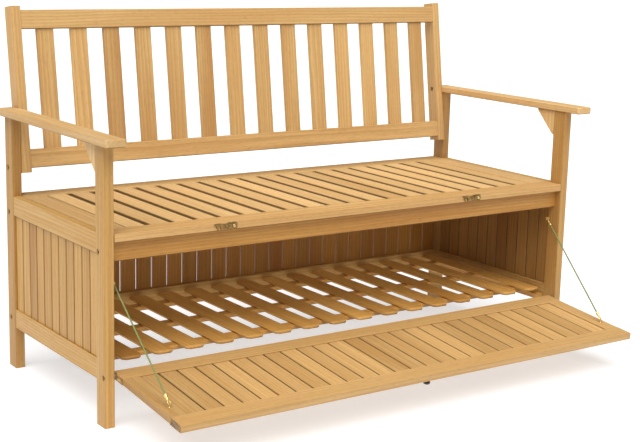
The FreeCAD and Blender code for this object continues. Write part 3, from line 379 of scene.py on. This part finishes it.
def worn_metal(name, bright, dull, smooth, rough, scale):
    """Metal with a patchy film of tarnish and fine handling marks."""
    material, tree, shader = new_material(name)
    place = add_node(tree, "TexCoord").outputs["Object"]
    film = mottle(tree, place, (scale, scale, scale), 4.0, 0.35, 0.7)
    marks = mottle(tree, place, (9 * scale, 9 * scale, 9 * scale), 2.0, 0.4, 0.7)
    tree.links.new(mixed(tree, film, (*bright, 1), (*dull, 1)), shader.inputs["Base Color"])
    both = add_node(tree, "Math", {0: film, 1: 0.6, 2: times(tree, marks, 0.4)}, operation="MULTIPLY_ADD")
    gloss = add_node(tree, "MapRange", {"Value": both.outputs[0], "To Min": smooth, "To Max": rough})
    tree.links.new(gloss.outputs[0], shader.inputs["Roughness"])
    bump = add_node(tree, "Bump", {"Strength": 0.1, "Distance": 0.0002, "Height": marks})
    tree.links.new(bump.outputs[0], shader.inputs["Normal"])
    shader.inputs["Metallic"].default_value = 1.0
    return material


def turned(name, profile, sides):
    """A piece off the lathe: a disc drawn along z through the radius and height of each step."""
    radius, height = profile[0]
    bpy.ops.object.select_all(action="DESELECT")
    bpy.ops.mesh.primitive_circle_add(vertices=sides, radius=radius, fill_type="NGON",
                                      location=(0, 0, height))
    piece = bpy.context.object
    piece.name = name
    bpy.ops.object.transform_apply(location=True)
    bpy.ops.object.mode_set(mode="EDIT")
    for next_radius, next_height in profile[1:]:
        bpy.ops.mesh.extrude_region_move(TRANSFORM_OT_translate={"value": (0, 0, next_height - height)})
        bpy.ops.transform.resize(value=(next_radius / radius, next_radius / radius, 1),
                                 center_override=(0, 0, next_height))
        radius, height = next_radius, next_height
    bpy.ops.mesh.select_all(action="SELECT")
    bpy.ops.mesh.normals_make_consistent(inside=False)
    bpy.ops.object.mode_set(mode="OBJECT")
    bpy.ops.object.shade_smooth_by_angle(angle=math.radians(35))
    return piece


def cut_out(piece, cutter):
    """Cuts the shape of one piece out of another, and removes it."""
    only(piece)
    cut = piece.modifiers.new("cut", "BOOLEAN")
    cut.operation = "DIFFERENCE"
    cut.object = cutter
    bpy.ops.object.modifier_apply(modifier=cut.name)
    bpy.data.objects.remove(cutter)


def socket_bolt(name, radius, length):
    """A bolt along z with the seat of its head at the origin. Its crown goes in and up by steps."""
    shank = [(radius - bolt_point, -length), (radius, bolt_point - length), (radius, 0)]
    head = [(bolt_head - bolt_rim, 0), (bolt_head, bolt_rim)]
    crown = [(bolt_head - inset, bolt_head_height - drop) for inset, drop in bolt_crown]
    bolt = turned(name, shank + head + crown, bolt_sides)
    bpy.ops.object.select_all(action="DESELECT")
    bpy.ops.mesh.primitive_cylinder_add(vertices=6, radius=bolt_socket, depth=2 * bolt_socket_depth,
                                        location=(0, 0, bolt_head_height))
    bpy.ops.object.transform_apply(location=True)
    cut_out(bolt, bpy.context.object)
    return bolt


def joined(name, pieces):
    """Several pieces made one, with its own mesh."""
    only(pieces[0])
    for piece in pieces:
        piece.select_set(True)
    if len(pieces) > 1:
        bpy.ops.object.join()
    pieces[0].name = name
    return pieces[0]


bolt_steel = worn_metal("bronzed_steel", (0.42, 0.30, 0.20), (0.20, 0.13, 0.08), 0.3, 0.5, 160.0)
for node in ("frame_bolts", "stile_bolts", "arm_bolts", "left_pivot_bolt", "right_pivot_bolt"):
    solid = whole_copy(node)
    made = []
    for part in boards_of(solid.data):
        corners = [solid.data.vertices[number].co for number in part]
        low = Vector([min(corner[axis] for corner in corners) for axis in range(3)])
        high = Vector([max(corner[axis] for corner in corners) for axis in range(3)])
        middle = (low + high) / 2
        head_size = (high - low).z / 2
        rim = [corner.x for corner in corners if (corner - middle).yz.length > 0.9 * head_size]
        reaches = [(corner - middle).yz.length for corner in corners]
        shank_size = max(reach for reach in reaches if reach < 0.8 * head_size)
        points_left = sum(rim) / len(rim) > middle.x
        seat = high.x - bolt_head_height if points_left else low.x + bolt_head_height
        bolt = socket_bolt("bolt", shank_size, high.x - low.x - bolt_head_height)
        bolt.data.transform(Matrix.Translation((seat, middle.y, middle.z))
                            @ Matrix.Rotation(math.pi / 2 if points_left else -math.pi / 2, 4, "Y"))
        made.append(bolt)
    bpy.data.objects.remove(solid)
    bolts = joined(node + "_turned", made)
    bolts.data.materials.append(bolt_steel)
    standing_for(bolts, node)

# Pivot spacers. Turned nylon collars on the pivot bolts, which keep the front clear of the posts.
# They came off the lathe with fine rings and a dull face.
spacer_edge = 0.0005
spacer_nylon, spacer_tree, spacer_shader = new_material("worn_nylon")
spacer_place = add_node(spacer_tree, "TexCoord").outputs["Object"]
spacer_grime = mottle(spacer_tree, spacer_place, (220.0, 220.0, 220.0), 3.0, 0.4, 0.7)
spacer_tint = mixed(spacer_tree, spacer_grime, (0.24, 0.16, 0.10, 1), (0.13, 0.085, 0.05, 1))
spacer_tree.links.new(spacer_tint, spacer_shader.inputs["Base Color"])
spacer_shader.inputs["Roughness"].default_value = 0.5


def dressed_copy(node, edge):
    """A piece's own shape with its sharp edges rounded, standing in its place."""
    piece = whole_copy(node)
    rounding = piece.modifiers.new("rounding", "BEVEL")
    rounding.width = edge
    rounding.segments = 2
    rounding.limit_method = "ANGLE"
    rounding.angle_limit = math.radians(30)
    rounding.use_clamp_overlap = False
    bpy.ops.object.modifier_apply(modifier=rounding.name)
    bpy.ops.object.shade_smooth()
    shading = piece.modifiers.new("shading", "WEIGHTED_NORMAL")
    shading.keep_sharp = True
    bpy.ops.object.modifier_apply(modifier=shading.name)
    standing_for(piece, node)
    return piece


for side in ("left", "right"):
    spacer = dressed_copy(side + "_pivot_spacer", spacer_edge)
    spacer.data.materials.append(spacer_nylon)

# Knob. A small pull turned from hardwood and stained near black, screwed to the outer face of the
# front at the middle of its free edge.
pivot = Vector((0, -0.14781, 0.12))
front_half = 0.009
knob_reach = 0.289
knob_sides = 40
knob_profile = [(0.0046, 0.0), (0.005, 0.0006), (0.0048, 0.0028), (0.0052, 0.0048), (0.0064, 0.0062),
                (0.0080, 0.0078), (0.0089, 0.0096), (0.009, 0.0112), (0.0085, 0.0131), (0.0072, 0.0147),
                (0.0052, 0.0156), (0.0026, 0.016)]


def on_front(across, reach):
    """The place on the front's outer face at that distance from the middle and from the pivot."""
    opened = Matrix.Translation(pivot) @ Matrix.Rotation(math.radians(front_turn), 4, "X")
    return opened @ Matrix.Translation((across, -front_half, reach)) @ Matrix.Rotation(math.pi / 2, 4, "X")


knob_stain, knob_tree, knob_shader = new_material("black_stain")
knob_place = add_node(knob_tree, "TexCoord").outputs["Object"]
knob_grain = mottle(knob_tree, knob_place, (900.0, 90.0, 900.0), 3.0, 0.4, 0.7)
knob_tint = mixed(knob_tree, knob_grain, (0.016, 0.011, 0.008, 1), (0.034, 0.022, 0.014, 1))
knob_tree.links.new(knob_tint, knob_shader.inputs["Base Color"])
knob_shader.inputs["Roughness"].default_value = 0.35
knob = turned("pull_knob", knob_profile, knob_sides)
knob.data.transform(on_front(0, knob_reach))
knob.data.materials.append(knob_stain)
standing_for(knob, "door_knob")

# Latches. A stamped brass plate and a flat brass hook turn on one slotted screw in the seat's front
# rail, and the hook catches a second such screw in the front when it is shut.
latch_edge = 0.0003
latch_spread = 0.383
latch_height = 0.445
keeper_reach = 0.285
seat_face = -0.15681
screw_slot = 0.0009
screw_slot_depth = 0.0007
screw_sides = 28
left_screw_turn = 0.5
right_screw_turn = 1.9
screw_profile = [(0.0004, -0.012), (0.0019, -0.0085), (0.002, 0.0039), (0.0038, 0.0039), (0.004, 0.0041),
                 (0.004, 0.0044), (0.0036, 0.0049), (0.0029, 0.0053), (0.0018, 0.0055)]

latch_brass = worn_metal("aged_brass", (0.36, 0.225, 0.08), (0.15, 0.09, 0.032), 0.3, 0.55, 240.0)
# The screws' brass is paler than the latch's: partly rubbed bright with use, partly a painted highlight.
rubbed_highlight_brass = worn_metal("rubbed_brass_painted_highlight", (0.88, 0.68, 0.32), (0.60, 0.42, 0.17), 0.22, 0.5, 240.0)
latch_plates = dressed_copy("latch_plates", latch_edge)
latch_plates.data.materials.append(latch_brass)
for side in ("left", "right"):
    hook = dressed_copy(side + "_hook", latch_edge)
    hook.data.materials.append(latch_brass)

slotted_screw = turned("slotted_screw", screw_profile, screw_sides)
bpy.ops.object.select_all(action="DESELECT")
bpy.ops.mesh.primitive_cube_add(size=1, location=(0, 0, screw_profile[-1][1]),
                                scale=(4 * screw_profile[4][0], screw_slot, 2 * screw_slot_depth))
bpy.ops.object.transform_apply(location=True, rotation=True, scale=True)
cut_out(slotted_screw, bpy.context.object)
slotted_screw.data.materials.append(rubbed_highlight_brass)


def copies_of(pattern, name, places):
    """Copies of one piece at several places, made one."""
    made = []
    for place in places:
        copy = bpy.data.objects.new(name, pattern.data.copy())
        bpy.context.scene.collection.objects.link(copy)
        copy.data.transform(place)
        made.append(copy)
    return joined(name, made)


screw_places = [Matrix.Translation((side * latch_spread, seat_face, latch_height))
                @ Matrix.Rotation(math.pi / 2, 4, "X") @ Matrix.Rotation(turn, 4, "Z")
                for side, turn in ((-1, left_screw_turn), (1, right_screw_turn))]
standing_for(copies_of(slotted_screw, "latch_pivot_screws", screw_places), "latch_screws")
for side, across in (("left", -latch_spread), ("right", latch_spread)):
    keeper = copies_of(slotted_screw, side + "_keeper_screw", [on_front(across, keeper_reach)])
    standing_for(keeper, side + "_keeper")
bpy.data.objects.remove(slotted_screw)

# Cord fittings. A bent-wire screw eye in each front post and two in the front's inner face, each
# linked to the ring of a turned brass bell that is crimped on the end of a cord.
ring_radius = 0.0035
wire_radius = 0.0009
ring_step = 0.004779
wire_sides = 12
ring_steps = 28
eye_sides = 20
bell_sides = 28
eye_height = 0.008
eye_profile = [(0.0004, -0.011), (0.0014, -0.009), (0.0014, -0.0001), (0.0024, -0.0001), (0.0028, 0.0003),
               (0.0028, 0.0010), (0.0024, 0.0014), (0.0014, 0.0018), (0.0012, 0.0026), (0.0010, 0.0042)]
bell_profile = [(0.0016, 0.0035), (0.0023, 0.0037), (0.0026, 0.0042), (0.0026, 0.0072), (0.0030, 0.0076),
                (0.0030, 0.0082), (0.0027, 0.0087), (0.0029, 0.0102), (0.0034, 0.0124), (0.0039, 0.0148),
                (0.0042, 0.0170), (0.0044, 0.0186), (0.0043, 0.0193), (0.0040, 0.0195), (0.0022, 0.0195)]
bell_height = bell_profile[-1][1]
post_eye_foot = Vector((-0.695, -0.11681, 0.351))
post_eye_stem = Vector((1, 0, 0))
front_eye_foot = Vector((-0.6675, -0.364609, 0.107025))
front_eye_stem = Vector((0, -0.10106, 0.99488))
cord_brass = worn_metal("turned_brass", (0.98, 0.78, 0.32), (0.80, 0.57, 0.20), 0.35, 0.5, 300.0)


def with_ring(piece, height):
    """Adds a ring of round wire to a piece, in its xz plane, with its middle at that height."""
    bpy.ops.object.select_all(action="DESELECT")
    bpy.ops.mesh.primitive_circle_add(vertices=wire_sides, radius=wire_radius,
                                      location=(ring_radius, 0, height))
    ring = bpy.context.object
    bpy.ops.object.transform_apply(location=True)
    bpy.ops.object.mode_set(mode="EDIT")
    bpy.ops.mesh.select_all(action="SELECT")
    bpy.ops.mesh.spin(steps=ring_steps, angle=2 * math.pi, center=(0, 0, height), axis=(0, 1, 0))
    bpy.ops.mesh.select_all(action="SELECT")
    bpy.ops.mesh.remove_doubles(threshold=0.00002)
    bpy.ops.mesh.normals_make_consistent(inside=False)
    bpy.ops.object.mode_set(mode="OBJECT")
    bpy.ops.object.shade_smooth()
    piece.select_set(True)
    bpy.context.view_layer.objects.active = piece
    bpy.ops.object.join()
    piece.data.materials.append(cord_brass)
    return piece


def set_on(foot, up, towards):
    """The place at foot with z along up, and x as near as it goes to another direction."""
    z_axis = up.normalized()
    x_axis = (towards - z_axis * towards.dot(z_axis)).normalized()
    turn = Matrix((x_axis, z_axis.cross(x_axis), z_axis)).transposed()
    return Matrix.Translation(foot) @ turn.to_4x4()


def mirrored(point, side):
    """A point of the left end, at the left (-1) or the right end (1)."""
    return Vector((-side * point.x, point.y, point.z))


screw_eye = with_ring(turned("screw_eye", eye_profile, eye_sides), eye_height)
bell = with_ring(turned("bell", bell_profile, bell_sides), 0)
post_eyes = []
front_eyes = []
post_bells = []
front_bells = []
cord_ends = {}
for name, side in (("left", -1), ("right", 1)):
    upper = mirrored(post_eye_foot + eye_height * post_eye_stem, side)
    lower = mirrored(front_eye_foot + eye_height * front_eye_stem, side)
    upper_stem = mirrored(post_eye_stem, side)
    pull = (lower - upper).normalized()
    post_eyes.append(set_on(mirrored(post_eye_foot, side), upper_stem, pull))
    front_eyes.append(set_on(mirrored(front_eye_foot, side), front_eye_stem, -pull))
    upper_ring = upper + ring_step * pull
    lower_ring = lower - ring_step * pull
    post_bells.append(set_on(upper_ring, pull, pull.cross(upper_stem)))
    front_bells.append(set_on(lower_ring, -pull, pull.cross(front_eye_stem)))
    cord_ends[name] = (upper_ring + bell_height * pull, lower_ring - bell_height * pull)
standing_for(copies_of(screw_eye, "post_screw_eyes", post_eyes), "post_eyes")
standing_for(copies_of(screw_eye, "front_screw_eyes", front_eyes), "door_eyes")
standing_for(copies_of(bell, "post_bells", post_bells), "post_ferrules")
standing_for(copies_of(bell, "front_bells", front_bells), "door_ferrules")
bpy.data.objects.remove(screw_eye)
bpy.data.objects.remove(bell)

# Stay cords. Two limp green cords of three laid strands, one at each end, that stop the front as it
# falls open. Each is drawn straight by the weight of the front and is 295 mm long between its bells.
cord_width = 0.004
cord_lay = 0.013
cord_strands = 3
cord_sides = 24
cord_groove = 0.16
cord_shading = 1.6
cord_lead = 6 * cord_width

cord_yarn, yarn_tree, yarn_shader = new_material("green_yarn")
# Painted shade: the yarn is darkened towards the grooves between its strands.
yarn_groove_shade = add_node(yarn_tree, "Attribute", attribute_name="groove_shade").outputs["Fac"]
yarn_place = add_node(yarn_tree, "TexCoord").outputs["Object"]
yarn_fuzz = mottle(yarn_tree, yarn_place, (1400.0, 1400.0, 1400.0), 2.0, 0.35, 0.7)
yarn_tint = mixed(yarn_tree, yarn_fuzz, (0.15, 0.185, 0.045, 1), (0.33, 0.37, 0.12, 1))
yarn_shaded = mixed(yarn_tree, yarn_groove_shade, (0.018, 0.032, 0.008, 1), yarn_tint)
yarn_tree.links.new(yarn_shaded, yarn_shader.inputs["Base Color"])
yarn_shader.inputs["Roughness"].default_value = 0.7
yarn_bump = add_node(yarn_tree, "Bump", {"Strength": 0.25, "Distance": 0.0002, "Height": yarn_fuzz})
yarn_tree.links.new(yarn_bump.outputs[0], yarn_shader.inputs["Normal"])


def cord_line(points):
    """Points along the smooth line of a cord's route."""
    line = bpy.data.curves.new("cord_route", "CURVE")
    line.dimensions = "3D"
    line.resolution_u = 90
    spline = line.splines.new("NURBS")
    spline.points.add(len(points) - 1)
    for place, point in zip(spline.points, points):
        place.co = (*point, 1)
    spline.order_u = 3
    spline.use_endpoint_u = True
    route = bpy.data.objects.new("cord_route", line)
    bpy.context.scene.collection.objects.link(route)
    drawn = bpy.data.meshes.new_from_object(route)
    found = [vertex.co.copy() for vertex in drawn.vertices]
    bpy.data.objects.remove(route)
    bpy.data.meshes.remove(drawn)
    return found


def laid_cord(name, path):
    """A tube along the path whose section turns with the lay of its strands; its points carry the painted
    shade that darkens the grooves between them.
    """
    places = []
    groove_shades = []
    faces = []
    run = 0.0
    for number, point in enumerate(path):
        ahead = path[min(number + 1, len(path) - 1)] - path[max(number - 1, 0)]
        run += (point - path[max(number - 1, 0)]).length
        twist = 2 * math.pi * run / cord_lay
        across = ahead.cross(Vector((1, 0, 0))).normalized()
        beside = ahead.cross(across).normalized()
        for step in range(cord_sides):
            angle = 2 * math.pi * step / cord_sides
            swell = abs(math.cos(cord_strands * (angle - twist) / 2))
            reach = cord_width / 2 * (1 - cord_groove * (1 - swell))
            places.append(point + reach * (math.cos(angle) * across + math.sin(angle) * beside))
            groove_shades.append(min(1.0, swell * cord_shading))
    for ring in range(len(path) - 1):
        for step in range(cord_sides):
            near = ring * cord_sides + step
            far = ring * cord_sides + (step + 1) % cord_sides
            faces.append((near, far, far + cord_sides, near + cord_sides))
    faces.append(tuple(reversed(range(cord_sides))))
    faces.append(tuple(range(len(places) - cord_sides, len(places))))
    mesh = bpy.data.meshes.new(name)
    mesh.from_pydata(places, [], faces)
    groove_shade = mesh.attributes.new("groove_shade", "FLOAT", "POINT")
    groove_shade.data.foreach_set("value", groove_shades)
    cord = bpy.data.objects.new(name, mesh)
    bpy.context.scene.collection.objects.link(cord)
    only(cord)
    bpy.ops.object.mode_set(mode="EDIT")
    bpy.ops.mesh.select_all(action="SELECT")
    bpy.ops.mesh.normals_make_consistent(inside=False)
    bpy.ops.object.mode_set(mode="OBJECT")
    bpy.ops.object.shade_smooth_by_angle(angle=math.radians(60))
    return cord


for name, (top, bottom) in cord_ends.items():
    lead = cord_lead * (bottom - top).normalized()
    path = cord_line([top, top + lead, bottom - lead, bottom])
    cord = laid_cord(name + "_stay_cord", path)
    cord.data.materials.append(cord_yarn)
    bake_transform(cord)
    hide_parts(name + "_cord")

# Floor, light and camera. A plain pale floor that glows a little, as a lit table does, a faint sky
# before a white backdrop, one broad soft light overhead and a little in front and to the left, and
# the camera low at the bench's left front corner.
floor_reach = 60.0
floor_grey = 0.5
floor_glow = 0.6
sky_strength = 0.15
light_strength = 4.35
light_spread = 70.0
light_from = (-0.31, -0.39, 1.0)
camera_place = (-2.018, -2.8275, 1.111)
camera_heading = -0.6146
camera_dip = 0.2051
camera_roll = 0.0263
camera_lens = 75.9

bpy.ops.object.select_all(action="DESELECT")
bpy.ops.mesh.primitive_plane_add(size=2 * floor_reach)
ground = bpy.context.object
ground.name = "studio_floor"
ground_paint, _, ground_shader = new_material("pale_floor")
ground_shader.inputs["Base Color"].default_value = (floor_grey, floor_grey, floor_grey, 1)
ground_shader.inputs["Roughness"].default_value = 0.9
ground_shader.inputs["Emission Color"].default_value = (1, 1, 1, 1)
ground_shader.inputs["Emission Strength"].default_value = floor_glow
ground.data.materials.append(ground_paint)

sky = bpy.data.worlds.new("studio_sky")
sky.use_nodes = True
sky_glow = sky.node_tree.nodes["Background"]
sky_glow.inputs["Color"].default_value = (1, 1, 1, 1)
sky_glow.inputs["Strength"].default_value = sky_strength
backdrop = add_node(sky.node_tree, "Background", {"Color": (1, 1, 1, 1), "Strength": 1.0})
seen = add_node(sky.node_tree, "LightPath").outputs["Is Camera Ray"]
sky_parts = add_node(sky.node_tree, "MixShader",
                     {0: seen, 1: sky_glow.outputs[0], 2: backdrop.outputs[0]})
sky.node_tree.links.new(sky_parts.outputs[0], sky.node_tree.nodes["World Output"].inputs["Surface"])
bpy.context.scene.world = sky

ceiling = bpy.data.objects.new("ceiling_light", bpy.data.lights.new("ceiling_light", "SUN"))
ceiling.data.energy = light_strength
ceiling.data.angle = math.radians(light_spread)
ceiling.rotation_mode = "QUATERNION"
ceiling.rotation_quaternion = (-Vector(light_from)).to_track_quat("-Z", "Y")
bpy.context.scene.collection.objects.link(ceiling)

camera = bpy.data.objects.new("camera", bpy.data.cameras.new("camera"))
camera.data.lens = camera_lens
camera.data.sensor_width = 36
camera.data.clip_end = 200
aim = Vector((-math.sin(camera_heading) * math.cos(camera_dip),
              math.cos(camera_heading) * math.cos(camera_dip), -math.sin(camera_dip)))
camera.location = camera_place
camera.rotation_mode = "QUATERNION"
camera.rotation_quaternion = aim.to_track_quat("-Z", "Y") @ Quaternion((0, 0, 1), camera_roll)
bpy.context.scene.collection.objects.link(camera)
bpy.context.scene.camera = camera
bpy.context.scene.view_settings.view_transform = "Standard"
